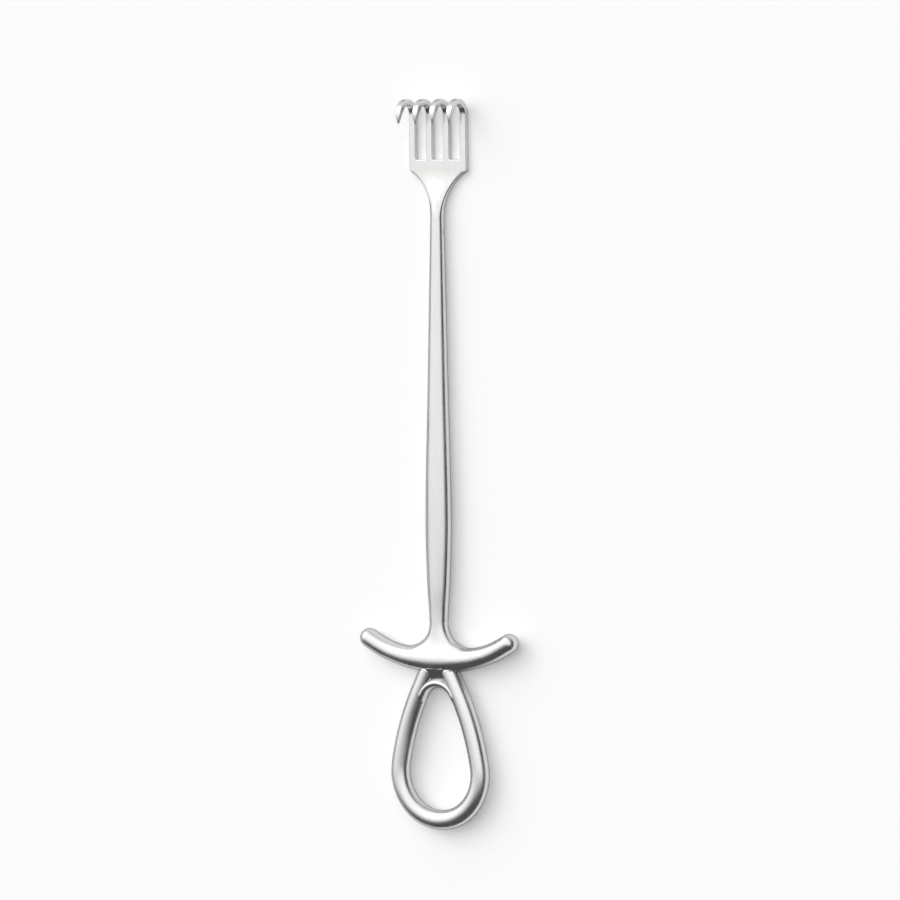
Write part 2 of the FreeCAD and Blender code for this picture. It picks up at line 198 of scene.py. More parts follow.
class HeadSizes(PropertyGroup):
    """The rake head: shank, plate and hooked prongs."""

    shank_length: length("Shank length", "From the seam to the shoulders", 14.6)
    shoulder_radius: length("Shoulder radius", "Radius of the hollow shoulders", 15.0)
    root_length: length("Root length", "From the shoulders to the slots", 3.4)
    thickness: length("Plate thickness", "Thickness of the plate and the prongs", 1.7)
    prongs: IntProperty(name="Prongs", description="Number of prongs", default=4, min=2, max=8)
    prong_width: length("Prong width", "Width of one prong", 2.15)
    slot_corner: length("Slot corner", "Radius in the slots' inner corners", 0.5)
    prong_length: length("Prong length", "From the slots to the top of the hooks", 18.0)
    hook_reach: length("Hook reach", "Height of the hooks over the resting plane", 9.4)
    hook_drop: length("Hook drop", "From the top of the hooks down to their points", 7.5)
    tip_set: length("Tip set", "How far the points lie below the hooks' highest line", 0.4)
    leaf_power: number("Leaf power", "How late the points narrow, in plan", 3.4, min=1.0, max=8.0)
    thin_power: number("Thin power", "How late the points grow thin, in side view", 4.5, min=1.0, max=8.0)
    edge: length("Edge", "Radius on the plate's and the prongs' edges", 0.32)
    spigot_diameter: length("Spigot diameter", "Diameter of the spigot inside the shaft", 2.2)
    spigot_length: length("Spigot length", "Length of the spigot", 8.0)


class PinSizes(PropertyGroup):
    """Pins and dowels, with the clearance round them."""

    pin_diameter: length("Pin diameter", "Diameter of the two cross pins", 1.0)
    dowel_diameter: length("Dowel diameter", "Diameter of the loop's two dowels", 1.6)
    dowel_length: length("Dowel length", "Length of a dowel", 6.4)
    chamfer: length("Chamfer", "Chamfer on the dowels' ends and the spigot's end", 0.2)
    clearance: length("Clearance", "Gap round pins, dowels, tang and spigot", 0.03)


class SteelLook(PropertyGroup):
    """The finish of the steel."""

    tint: colour("Tint", "Reflected colour of the satin steel", (0.72, 0.72, 0.71))
    pin_tint: colour("Pin tint", "Reflected colour of the pins", (0.66, 0.66, 0.66))
    edge_tint: colour("Edge tint", "Reflected colour at grazing angles, of a mirror's", (0.2, 0.2, 0.2))
    roughness: share("Roughness", "Mean roughness of the satin finish", 0.25)
    roughness_spread: share("Roughness spread", "How much streaks and smudges change the roughness", 0.16)
    tint_spread: share("Tint spread", "How much streaks darken the colour", 0.10)
    brushing: share("Brushing", "Strength of the brushed grain's relief", 0.35)
    hairlines: share("Hairlines", "Strength of the fine scratches", 0.25)


class StudioLook(PropertyGroup):
    """Floor, lamp, sky and camera."""

    floor_tint: colour("Floor", "Colour of the floor", (0.98, 0.98, 0.98))
    floor_lift: share("Floor lift", "What the floor gains where the camera or a reflection sees it", 0.16)
    key_strength: number("Key strength", "Strength of the soft key lamp", 0.5, min=0.0)
    key_softness: angle("Key softness", "Width of the key lamp as the instrument sees it", 36.0)
    key_direction: FloatVectorProperty(name="Key direction", description="Towards the key lamp",
                                       default=(0.55, 0.60, 0.58), subtype="DIRECTION")
    sky_bright: number("Bright sky", "Strength of the sky overhead", 1.34)
    sky_dark: number("Dark sky", "Strength of the sky's dark side", 0.08)
    horizon: number("Horizon", "Strength of the thin pale horizon", 0.97)
    camera_distance: length("Camera distance", "From the camera to what it looks at", 2000.0)
    camera_lens: number("Lens", "Focal length for a 36 mm sensor, in millimetres", 266.2)
    camera_side: angle("Side angle", "How far the camera stands to the instrument's right side", 33.1)
    camera_rise: angle("End angle", "How far the camera leans towards the prongs", 3.1)
    camera_roll: angle("Roll", "How far the camera is turned about its own line of sight", -0.6)
    aim_right: length("Aim right", "What the camera looks at, right of the instrument's middle", 4.46)
    aim_up: length("Aim up", "What the camera looks at, above the instrument's middle", 4.76)


class RetractorSettings(PropertyGroup):
    """Everything that a user can change."""

    loop: PointerProperty(type=LoopSizes)
    crossbar: PointerProperty(type=CrossbarSizes)
    shaft: PointerProperty(type=ShaftSizes)
    head: PointerProperty(type=HeadSizes)
    pins: PointerProperty(type=PinSizes)
    steel: PointerProperty(type=SteelLook)
    studio: PointerProperty(type=StudioLook)


def settings():
    return bpy.context.scene.rake_retractor


# Places along the instrument

def place(station, y=0.0, z=HANDLE_LEVEL):
    """The point at a station, at the handle's level where no other is given."""
    return Vector((FAR_END + station, y, z))


def stations():
    """The stations where one form meets the next."""
    s = settings()
    found = SimpleNamespace()
    found.opening_top = s.loop.rod_width + s.loop.opening_length
    found.bar_underside = found.opening_top + s.loop.saddle_height
    found.bar_middle = found.bar_underside + s.crossbar.hub_height / 2
    found.shaft_foot = found.bar_middle + s.crossbar.foot_rise
    found.head_seam = found.shaft_foot + s.shaft.length
    found.shoulder = found.head_seam + s.head.shank_length
    found.slot_end = found.shoulder + s.head.root_length
    found.hook_top = found.slot_end + s.head.prong_length
    return found


def neck_level():
    return settings().shaft.neck_lift + settings().shaft.neck_thickness / 2


def axis_level(station):
    """Height of the shaft's axis, which falls evenly from the handle to the neck."""
    at = stations()
    fall = (station - at.bar_middle) / (at.head_seam - at.bar_middle)
    return HANDLE_LEVEL + fall * (neck_level() - HANDLE_LEVEL)


# Rings, skins and meshes

def even(start, span, steps):
    """Evenly spaced numbers or points from a start over a span, with both ends."""
    return [start + span * step / steps for step in range(steps + 1)]


def circle(count=RING_POINTS):
    """The cosine and sine at even steps round a full turn."""
    return [(cos(turn), sin(turn)) for turn in even(0.0, 2 * pi, count)[:-1]]


def signed(value, power):
    """A value's power, with the value's own sign."""
    return copysign(abs(value) ** power, value)


def oval(middle, first, half_first, second, half_second, count=RING_POINTS, squareness=2.0):
    """Points round an oval, or round a blunt block where squareness is high."""
    power = 2 / squareness
    return [middle + first * (half_first * signed(c, power)) + second * (half_second * signed(n, power))
            for c, n in circle(count)]


def skin(bm, rings, cap_start=True, cap_end=True):
    """Faces between rings of as many points, with flat caps."""
    rows = [[bm.verts.new(point) for point in ring] for ring in rings]
    for row, following in zip(rows, rows[1:]):
        for corners in zip(row, row[1:] + row[:1], following[1:] + following[:1], following):
            bm.faces.new(corners)
    if cap_start:
        bm.faces.new(rows[0][::-1])
    if cap_end:
        bm.faces.new(rows[-1])
    return rows


def added(name, data):
    """A new object in the scene."""
    made = bpy.data.objects.new(name, data)
    bpy.context.scene.collection.objects.link(made)
    return made


def discard(*objects):
    for gone in objects:
        bpy.data.objects.remove(gone)


def creased(made, degrees=35):
    """Shades an object smooth, but for edges sharper than an angle."""
    made.data.shade_smooth()
    made.data.set_sharp_from_angle(angle=radians(degrees))


def mesh_object(name, bm):
    """A new object from a bmesh, its faces pointing out."""
    bmesh.ops.recalc_face_normals(bm, faces=bm.faces)
    mesh = bpy.data.meshes.new(name)
    bm.to_mesh(mesh)
    bm.free()
    made = added(name, mesh)
    creased(made)
    return made


def lofted(name, rings):
    bm = bmesh.new()
    skin(bm, rings)
    return mesh_object(name, bm)


def modified(made, kind, **options):
    """Adds a modifier with its options set."""
    modifier = made.modifiers.new(kind.capitalize(), kind)
    for option, value in options.items():
        setattr(modifier, option, value)
    return modifier


def baked(made):
    """Keeps what an object's modifiers make as its plain mesh."""
    graph = bpy.context.evaluated_depsgraph_get()
    mesh = bpy.data.meshes.new_from_object(made.evaluated_get(graph), preserve_all_data_layers=True,
                                           depsgraph=graph)
    made.modifiers.clear()
    old = made.data
    made.data = mesh
    bpy.data.meshes.remove(old)
    mesh.name = made.name


def combined(made, operation, tools, neighbours=()):
    """Cuts, joins or keeps what is inside its neighbours and the tools, and discards the tools."""
    for other in (*neighbours, *tools):
        modified(made, "BOOLEAN", operation=operation, solver="MANIFOLD", object=other)
    baked(made)
    discard(*tools)


def bar_between(name, start, direction, span, diameter, chamfer=0.0):
    """A round bar or bore from a point, with chamfered ends where wanted."""
    first = direction.orthogonal().normalized()
    second = direction.cross(first)
    radius = diameter / 2
    ends = [(0.0, radius - chamfer), (chamfer, radius), (span - chamfer, radius), (span, radius - chamfer)]
    return lofted(name, [oval(start + direction * along, first, size, second, size, BAR_POINTS)
                         for along, size in (ends if chamfer else ends[1:3])])


def through(stops, where):
    """A smooth value through (place, value) stops, level at the first and without overshoot."""
    spans = [(b[0] - a[0], (b[1] - a[1]) / (b[0] - a[0])) for a, b in zip(stops, stops[1:])]
    slopes = [0.0]
    for (before, rise_before), (after, rise_after) in zip(spans, spans[1:]):
        if rise_before * rise_after <= 0:
            slopes.append(0.0)
            continue
        first, second = 2 * after + before, after + 2 * before
        slopes.append((first + second) / (first / rise_before + second / rise_after))
    slopes.append(spans[-1][1])
    index = 0
    while index < len(spans) - 1 and where > stops[index + 1][0]:
        index += 1
    width = spans[index][0]
    t = (where - stops[index][0]) / width
    low, high = stops[index][1], stops[index + 1][1]
    return ((1 + 2 * t) * (1 - t) ** 2 * low + t * (1 - t) ** 2 * width * slopes[index]
            + t * t * (3 - 2 * t) * high + t * t * (t - 1) * width * slopes[index + 1])


def set_grain(made, rule=tuple):
    """Stores, at each vertex, the coordinates that the brushed finish follows: along, across and up."""
    mesh = made.data
    if GRAIN in mesh.attributes:
        mesh.attributes.remove(mesh.attributes[GRAIN])
    attribute = mesh.attributes.new(GRAIN, "FLOAT_VECTOR", "POINT")
    attribute.data.foreach_set("vector", [part for vertex in mesh.vertices for part in rule(vertex.co)])


def fitted(made, material, node):
    """Finishes a piece: its steel, its place in the assembly, and hides the imported node that it stands for.
    """
    made.data.materials.clear()
    made.data.materials.append(material)
    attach(made, "root")
    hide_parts(node)


# Node trees

class Graph:
    """Adds nodes to a node tree."""

    def __init__(self, tree):
        self.tree = tree

    def fill(self, made, inputs):
        """Sets a node's inputs to plain values, or links them to sockets or to other nodes' first outputs."""
        for label, value in inputs.items():
            if isinstance(value, Node):
                value = value.outputs[0]
            if isinstance(value, NodeSocket):
                self.tree.links.new(value, made.inputs[label])
            else:
                made.inputs[label].default_value = value
        return made

    def node(self, kind, inputs=None, **options):
        made = self.tree.nodes.new(kind)
        for option, value in options.items():
            setattr(made, option, value)
        return self.fill(made, inputs or {})

    def maths(self, operation, first, second):
        return self.node("ShaderNodeMath", {0: first, 1: second}, operation=operation)


class Tree(Graph):
    """A small Geometry Nodes tree with named inputs."""

    def __init__(self, name, inputs):
        super().__init__(bpy.data.node_groups.new(name, "GeometryNodeTree"))
        face = self.tree.interface
        for direction in ("INPUT", "OUTPUT"):
            face.new_socket("Geometry", in_out=direction, socket_type="NodeSocketGeometry")
        for label, (kind, default) in inputs.items():
            socket = face.new_socket(label, in_out="INPUT", socket_type="NodeSocket" + kind)
            if default is not None:
                socket.default_value = default
        self.source = self.node("NodeGroupInput")
        self.sink = self.node("NodeGroupOutput")

    def vector(self, x=0.0, y=0.0, z=0.0):
        return self.node("ShaderNodeCombineXYZ", {"X": x, "Y": y, "Z": z})

    def given(self, label):
        return self.source.outputs[label]

    def captured(self, geometry, kind, label, value):
        """Geometry that carries a value on, under a label."""
        made = self.node("GeometryNodeCaptureAttribute", {"Geometry": geometry})
        made.capture_items.new(kind, label)
        return self.fill(made, {label: value})

    def finish(self, geometry):
        """Ends the tree in Realize Instances and Set Material."""
        real = self.node("GeometryNodeRealizeInstances", {"Geometry": geometry})
        painted = self.node("GeometryNodeSetMaterial", {"Geometry": real, "Material": self.given("Material")})
        self.fill(self.sink, {"Geometry": painted})
        return self.tree


def grown(made, group, **values):
    """Runs a tree on an object with its inputs set, and keeps the result as a plain mesh."""
    modifier = modified(made, "NODES", node_group=group)
    for item in group.interface.items_tree:
        label = item.name.lower().replace(" ", "_")
        if item.item_type == "SOCKET" and item.in_out == "INPUT" and label in values:
            modifier[item.identifier] = values[label]
    baked(made)


def rod_tree():
    """An oval rod along the object's own line of edges, with its grain running along it."""
    tree = Tree("Oval rod", {
        "Width": ("Float", 0.006), "Thickness": ("Float", 0.0052), "Round Points": ("Int", 48),
        "Tail Length": ("Float", 1e-6), "Tail Size": ("Float", 1.0), "Material": ("Material", None),
    })
    line = tree.node("GeometryNodeMeshToCurve", {"Mesh": tree.given("Geometry")})
    flat = tree.node("GeometryNodeSetCurveNormal", {"Curve": line}, mode="Z_UP")
    walked = tree.node("GeometryNodeSplineParameter").outputs["Length"]
    along = tree.captured(flat, "FLOAT", "Along", walked)
    unit = tree.node("GeometryNodeCurvePrimitiveCircle",
                     {"Resolution": tree.given("Round Points"), "Radius": 0.5}, mode="RADIUS")
    size = tree.vector(tree.given("Width"), tree.given("Thickness"), 1.0)
    profile = tree.node("GeometryNodeTransform", {"Geometry": unit, "Scale": size})
    section = tree.captured(profile, "VECTOR", "Section", tree.node("GeometryNodeInputPosition"))
    left = tree.maths("SUBTRACT", tree.node("GeometryNodeSplineLength"), walked)
    tail = tree.node("ShaderNodeMapRange", {
        "Value": tree.maths("MINIMUM", walked, left), "From Max": tree.given("Tail Length"),
        "To Min": tree.given("Tail Size"), "To Max": 1.0,
    }, interpolation_type="SMOOTHSTEP")
    swept = tree.node("GeometryNodeCurveToMesh", {
        "Curve": along, "Profile Curve": section, "Scale": tail, "Fill Caps": True,
    })
    parts = tree.node("ShaderNodeSeparateXYZ", {"Vector": section.outputs["Section"]}).outputs
    grain = tree.vector(along.outputs["Along"], parts["X"], parts["Y"])
    return tree.finish(tree.node("GeometryNodeStoreNamedAttribute", {
        "Geometry": swept, "Name": GRAIN, "Value": grain,
    }, data_type="FLOAT_VECTOR", domain="POINT"))


def row_tree():
    """Copies of a second object in an even row across the instrument, welded to this one."""
    tree = Tree("Even row", {
        "Copy": ("Object", None), "Count": ("Int", 4), "Pitch": ("Float", 0.006), "Weld": ("Float", WELD),
        "Material": ("Material", None),
    })
    count, pitch = tree.given("Count"), tree.given("Pitch")
    width = tree.maths("MULTIPLY", tree.maths("SUBTRACT", count, 1.0), pitch)
    row = tree.node("GeometryNodeMeshLine", {
        "Count": count, "Start Location": tree.vector(y=tree.maths("MULTIPLY", width, -0.5)),
        "Offset": tree.vector(y=pitch),
    })
    source = tree.node("GeometryNodeObjectInfo", {"Object": tree.given("Copy")})
    copies = tree.node("GeometryNodeInstanceOnPoints",
                       {"Points": row, "Instance": source.outputs["Geometry"]})
    joined = tree.node("GeometryNodeJoinGeometry", {"Geometry": tree.given("Geometry")})
    tree.fill(joined, {"Geometry": tree.node("GeometryNodeRealizeInstances", {"Geometry": copies})})
    return tree.finish(tree.node("GeometryNodeMergeByDistance",
                                 {"Geometry": joined, "Distance": tree.given("Weld")}))


# Steel and floor

def painted(name):
    """A new material, with its nodes and its shader."""
    material = bpy.data.materials.new(name)
    material.use_nodes = True
    return material, Graph(material.node_tree), material.node_tree.nodes["Principled BSDF"]


def steel(name, streak_length=14 * MM, streak_width=0.30 * MM, tint="tint"):
    """Satin steel whose brushed grain follows the piece's stored grain coordinates."""
    look = settings().steel
    material, graph, shader = painted(name)
    grain = graph.node("ShaderNodeAttribute", attribute_name=GRAIN)
    bright = getattr(look, tint)
    dark = [part * (1 - look.tint_spread) for part in bright]
    quarter = look.roughness_spread / 4

    def streaks(along, across, turn=0.0, detail=2.0):
        """Noise stretched into streaks of a given length and width."""
        mapping = graph.node("ShaderNodeMapping", {
            "Vector": grain.outputs["Vector"], "Rotation": (0.0, 0.0, turn),
            "Scale": (1 / along, 1 / across, 1 / across),
        })
        return graph.node("ShaderNodeTexNoise", {"Vector": mapping, "Scale": 1.0, "Detail": detail})

    def spread(value, shown, low=0.0, high=1.0):
        """The shown range of a value, spread between low and high."""
        return graph.node("ShaderNodeMapRange", {
            "Value": value, "From Min": shown[0], "From Max": shown[1], "To Min": low, "To Max": high,
        })

    brushed = streaks(streak_length, streak_width)
    smudges = streaks(*SMUDGE, detail=3.0)
    fine = streaks(streak_length / 3, streak_width / 3)
    mixed = graph.node("ShaderNodeMix", {
        "Factor": spread(graph.maths("ADD", brushed, smudges), TINT_RANGE),
        "A": (*dark, 1.0), "B": (*bright, 1.0),
    }, data_type="RGBA")
    relief = graph.node("ShaderNodeBump", {
        "Strength": look.brushing, "Distance": RELIEF_DEPTH, "Height": graph.maths("ADD", brushed, fine),
    })
    lines = spread(streaks(*HAIRLINE, HAIRLINE_TURN, detail=0.0), HAIRLINE_RANGE)
    patches = spread(streaks(*HAIRLINE_PATCH), PATCH_RANGE)
    scratches = graph.node("ShaderNodeBump", {
        "Strength": look.hairlines, "Distance": RELIEF_DEPTH,
        "Height": graph.maths("MULTIPLY", lines, patches), "Normal": relief,
    }, invert=True)
    rough = spread(brushed, MIDDLE_RANGE, look.roughness - quarter, look.roughness + quarter)
    graph.fill(shader, {
        "Metallic": 1.0, "Specular Tint": (*look.edge_tint, 1.0), "Base Color": mixed.outputs["Result"],
        "Roughness": graph.maths("ADD", rough, spread(smudges, MIDDLE_RANGE, -quarter, quarter)),
        "Normal": scratches,
    })
    return material


def floor_paint():
    """Plain pale floor that the camera and the metal see a little lighter than it lights the object."""
    s = settings().studio
    material, graph, shader = painted("pale_floor")
    rays = graph.node("ShaderNodeLightPath").outputs
    seen = graph.maths("MAXIMUM", rays["Is Camera Ray"], rays["Is Glossy Ray"])
    seen = graph.maths("MAXIMUM", seen, rays["Is Transmission Ray"])
    graph.fill(shader, {
        "Base Color": (*s.floor_tint, 1.0), "Roughness": 1.0, "Specular IOR Level": 0.0,
        "Emission Color": WHITE, "Emission Strength": graph.maths("MULTIPLY", seen, s.floor_lift),
    })
    return material


# Finger loop

def piece(name):
    """A piece that another one is fitted to."""
    found = bpy.data.objects.get(name)
    if found is None:
        raise RuntimeError(name + " has to be built first")
    return found


def loop_path():
    """The +Y half of the loop's centre line, as stations and distances across.

    The bottom bend turns past the loop's widest place, the flank is one arc that leaves it smoothly and
    meets the circle round the opening's top, and from there the limb runs straight up to the crossbar.
    """
    s, at = settings().loop, stations()
    found = SimpleNamespace()
    found.bottom_radius = (s.opening_width + s.rod_width) / 2
    top_radius = s.top_radius + s.rod_width / 2
    found.bottom_middle = s.rod_width / 2 + found.bottom_radius
    found.top_middle = at.opening_top - s.top_radius
    distance = found.top_middle - found.bottom_middle
    shrink = found.bottom_radius - top_radius
    reach = (distance**2 - shrink**2) / (2 * (shrink - distance * sin(s.flank_turn)))
    found.flank_middle = (found.bottom_middle - reach * sin(s.flank_turn), -reach * cos(s.flank_turn))
    found.flank_radius = found.bottom_radius + reach
    found.aim = atan2(-found.flank_middle[1], found.top_middle - found.flank_middle[0])
    found.meet = (found.flank_middle[0] + found.flank_radius * cos(found.aim),
                  found.flank_middle[1] + found.flank_radius * sin(found.aim))
    return found


def arc(middle_station, middle_y, radius, start, end, steps):
    """Points along an arc at the handle's level, its angles measured from +X."""
    return [place(middle_station + radius * cos(a), middle_y + radius * sin(a))
            for a in even(start, end - start, steps)]


def mirrored(half):
    """A whole line from its +Y half, whose first point lies on the middle plane."""
    return [Vector((p.x, -p.y, p.z)) for p in half[:0:-1]] + half


def line_object(name, points):
    """A mesh of edges from point to point, for a rod to grow along."""
    mesh = bpy.data.meshes.new(name)
    mesh.from_pydata(points, [(i, i + 1) for i in range(len(points) - 1)], [])
    return added(name, mesh)


def loop_line():
    """The loop's whole centre line, from inside the crossbar round the bottom bend and back."""
    path, at = loop_path(), stations()
    bend_end = pi / 2 - settings().loop.flank_turn
    bend = arc(path.bottom_middle, 0.0, path.bottom_radius, pi, bend_end, BEND_STEPS)
    flank = arc(*path.flank_middle, path.flank_radius, bend_end, path.aim, FLANK_STEPS)
    run = Vector((sin(path.aim), -cos(path.aim), 0))
    run = run * (at.bar_middle - path.meet[0]) / sin(path.aim)
    return mirrored(bend + flank[1:] + even(place(*path.meet), run, LIMB_STEPS)[1:])


def loop_form(name, material):
    """The loop's rod, before it is fitted to its neighbours."""
    s = settings().loop
    made = line_object(name, loop_line())
    grown(made, rod_tree(), width=s.rod_width, thickness=s.rod_thickness, material=material)
    return made


def build_loop():
    """The bent rod, its limbs fitted to the crossbar's underside."""
    material = steel("loop_steel")
    made = loop_form("loop_rod", material)
    combined(made, "DIFFERENCE", handle_bores(), [piece("crossbar_forging")])
    fitted(made, material, "finger_loop")


# Finger crossbar

def bar_ring(bend_angle, overhang, radius, height, depth):
    """An oval across the crossbar, at an angle and a radius of its bend and an overhang past the angle."""
    c, n = cos(bend_angle), sin(bend_angle)
    station = stations().bar_underside + settings().crossbar.underside_radius - radius * c + overhang * abs(n)
    middle = place(station, radius * n + copysign(overhang, n) * c)
    return oval(middle, Vector((c, -n, 0)), height / 2, UP, depth / 2)


def bar_rings():
    """The bent bar from end to end: a thick hub, slimmer wings and rounded ends over one arc underneath."""
    s = settings().crossbar
    end_radius, hub_power = s.end_diameter / 2, 4
    end_bend = s.underside_radius - end_radius
    end_angle = asin((s.span / 2 - end_radius) / end_bend)
    half = []
    for t in even(0.0, 1.0, WING_STEPS)[1:]:
        hub = cos(pi / 2 * t) ** hub_power
        height = s.wing_height + t * (s.end_diameter - s.wing_height) + hub * (s.hub_height - s.wing_height)
        depth = s.end_diameter + hub * (s.hub_depth - s.end_diameter)
        half.append((t * end_angle, 0.0, s.underside_radius - height / 2, height, depth))
    for turn in even(0.0, CAP_TURN, CAP_STEPS)[1:]:
        size = s.end_diameter * cos(turn)
        half.append((end_angle, end_radius * sin(turn), end_bend, size, size))
    left, right = ([bar_ring(side * bend_angle, *sizes) for bend_angle, *sizes in half] for side in (-1, 1))
    hub_ring = bar_ring(0.0, 0.0, s.underside_radius - s.hub_height / 2, s.hub_height, s.hub_depth)
    return left[::-1] + [hub_ring] + right


def across_ring(station, width, thickness, fullness=0.0):
    """A ring square to the shaft's axis: an oval, or a flatter one with round ends as its fullness grows."""
    middle, radius = place(station, 0.0, axis_level(station)), thickness / 2
    flat = width / 2 - radius
    return [middle + ACROSS * (flat * signed(c, 1 - fullness) + radius * c) + UP * (radius * n)
            for c, n in circle()]


def foot_rings():
    """The foot: a stub of shaft, then a quarter bend that flares down into the bar."""
    s, w, at = settings().crossbar, settings().shaft, stations()
    depth_power, fullness_power = 3, 2
    rings = [across_ring(at.shaft_foot + FOOT_STUB, w.waist_width, w.waist_thickness)]
    for step, turn in enumerate(even(0.0, s.flare_turn, FLARE_STEPS)):
        drop = s.flare_radius * sin(turn)
        width = w.waist_width + 2 * s.flare_radius * (1 - cos(turn))
        depth = w.waist_thickness + (s.hub_depth - w.waist_thickness) * (drop / s.foot_rise) ** depth_power
        fullness = s.foot_fullness * (step / FLARE_STEPS) ** fullness_power
        rings.append(across_ring(at.shaft_foot - drop, width, depth, fullness))
    rings.append(across_ring(at.bar_middle, width, s.hub_depth, fullness))
    return rings


def crossbar_grain(point):
    """Grain round the crossbar's bend."""
    radius = settings().crossbar.underside_radius
    offset = point - place(stations().bar_underside + radius)
    return atan2(offset.y, -offset.x) * radius, hypot(offset.x, offset.y), point.z


def corner_share(point):
    """1 where the foot's flare runs into the wings, falling to 0 on the bar's underside, wings and shaft."""
    s, w, at = settings().crossbar, settings().shaft, stations()
    flare_half = w.waist_width / 2 + s.flare_radius * (1 - cos(s.flare_turn))
    reach = Vector((point.x - FAR_END - (at.bar_middle + s.hub_height / 2), abs(point.y) - flare_half)).length
    t = min(max(MELT_REACH - reach / s.flare_radius, 0.0), 1.0)
    return t * t * (3 - 2 * t)


def trim_at(made, station):
    """Cuts an object off square at a station and closes the cut."""
    bm = bmesh.new()
    bm.from_mesh(made.data)
    cut = bmesh.ops.bisect_plane(bm, geom=[*bm.verts, *bm.edges, *bm.faces], plane_co=place(station, 0, 0),
                                 plane_no=ALONG, clear_outer=True)
    bmesh.ops.holes_fill(bm, edges=[part for part in cut["geom_cut"] if isinstance(part, bmesh.types.BMEdge)])
    bm.to_mesh(made.data)
    bm.free()


def dowel_offset():
    """How far from the middle each limb meets the crossbar's underside."""
    path, at = loop_path(), stations()
    return path.meet[1] - (at.bar_underside - path.meet[0]) / tan(path.aim)


def handle_bores(*others):
    """The bores of the square tang and both dowels, and any others between them, as cutting tools."""
    s, shaft, at = settings().pins, settings().shaft, stations()
    side = shaft.tang_side + 2 * s.clearance
    ends = (at.opening_top + shaft.tang_cover - s.clearance, at.shaft_foot + shaft.tang_side)
    tang = lofted("tang_bore", [[place(station, y * side / 2, HANDLE_LEVEL + z * side / 2) for y, z in SQUARE]
                                for station in ends])
    start, diameter = at.bar_underside - s.dowel_length / 2, s.dowel_diameter + 2 * s.clearance
    return [tang, *others, *(bar_between("dowel_bore", place(start, half * dowel_offset()), ALONG,
                                         s.dowel_length, diameter) for half in (-1, 1))]


def build_crossbar():
    """One forged skin over the bar and its foot, cut square at the shaft and not bored yet."""
    bm = bmesh.new()
    skin(bm, bar_rings())
    skin(bm, foot_rings())
    made = mesh_object("crossbar_forging", bm)
    modified(made, "REMESH", mode="VOXEL", voxel_size=settings().crossbar.blend, use_smooth_shade=True)
    baked(made)
    corner = made.vertex_groups.new(name="corner")
    for vertex in made.data.vertices:
        corner.add([vertex.index], corner_share(vertex.co), "REPLACE")
    modified(made, "SMOOTH", factor=0.5, iterations=SOFTEN_ROUNDS)
    modified(made, "SMOOTH", factor=0.5, iterations=MELT_ROUNDS, vertex_group=corner.name)
    baked(made)
    trim_at(made, stations().shaft_foot)
    fitted(made, steel("crossbar_steel"), "finger_crossbar")


def bore_crossbar():
    """The crossbar's bores, cut once the loop and the saddle are fitted to its skin."""
    made = piece("crossbar_forging")
    combined(made, "DIFFERENCE", handle_bores())
    creased(made)
    set_grain(made, crossbar_grain)


# Loop saddle

def rim_line():
    """The saddle rim's centre line: round the opening's top, then a shrinking tail along each limb."""
    s, path = settings().loop, loop_path()
    points = arc(path.top_middle, 0.0, s.top_radius + s.rim_width / 2, 0.0, path.aim, RIM_STEPS)
    outward = Vector((cos(path.aim), sin(path.aim), 0))
    down = Vector((-sin(path.aim), cos(path.aim), 0))
    end = points[-1]
    for t in even(0.0, 1.0, TAIL_STEPS)[1:]:
        shrink = (1 - s.tail_size) * t * t * (3 - 2 * t)
        points.append(end + down * (s.tail_length * t) + outward * (TAIL_SINK * t - shrink * s.rim_width / 2))
    return mirrored(points)


def saddle_web():
    """The web inside the rim, its faces falling from the crossbar towards the rim."""
    s, path, at = settings().loop, loop_path(), stations()
    radius = s.top_radius + s.rim_width / 2
    corner = (path.top_middle + radius * cos(path.aim), radius * sin(path.aim))
    inside_limb = s.rod_width / 4
    top_half = corner[1] - (at.bar_middle - corner[0]) / tan(path.aim) + inside_limb
    rings = []
    for t in even(0.0, 1.0, WEB_STEPS):
        station = corner[0] + (at.bar_middle - corner[0]) * t
        half = corner[1] + (top_half - corner[1]) * t
        rise = 2 * (station - at.bar_underside) * tan(s.web_slope)
        thick = min(max(s.web_thickness + rise, s.web_edge), s.web_root)
        rings.append([place(station, y * half, HANDLE_LEVEL + z * thick / 2) for y, z in SQUARE])
    web = lofted("saddle_web", rings)
    bottom = place(path.top_middle, 0.0, HANDLE_LEVEL - s.web_thickness)
    combined(web, "DIFFERENCE", [bar_between("rim_clearing", bottom, UP, 2 * s.web_thickness, 2 * radius)])
    return web


def saddle_form(name, material):
    """The rim and the web in one, before they are fitted to their neighbours."""
    s = settings().loop
    rim = line_object(name, rim_line())
    grown(rim, rod_tree(), width=s.rim_width, thickness=s.rim_thickness, tail_length=s.tail_length,
          tail_size=s.tail_size, material=material)
    web = saddle_web()
    set_grain(web)
    combined(rim, "UNION", [web])
    return rim


def build_saddle():
    """Rim and web between the limbs, bored for the tang, the pin and the dowels."""
    material = steel("saddle_steel")
    made = saddle_form("saddle_forging", material)
    rod = loop_form("rod_form", material)
    bores = handle_bores(saddle_pin_bar("pin_bore", settings().pins.clearance))
    combined(made, "DIFFERENCE", [rod, *bores], [piece("crossbar_forging")])
    creased(made, degrees=15)
    fitted(made, material, "loop_saddle")
    bore_crossbar()


# Shaft

def shaft_rings():
    """The oval shaft through its five stops, without its ends."""
    s, foot = settings().shaft, stations().shaft_foot
    stops = (("waist", 0.0), ("taper", s.taper_rise), ("swell", s.swell_rise), ("middle", s.middle_rise),
             ("neck", s.length))
    widths, thicknesses = ([(rise, getattr(s, stop + size)) for stop, rise in stops]
                           for size in ("_width", "_thickness"))
    return [across_ring(foot + rise, through(widths, rise), through(thicknesses, rise))
            for rise in even(0.0, s.length, SHAFT_STEPS)]


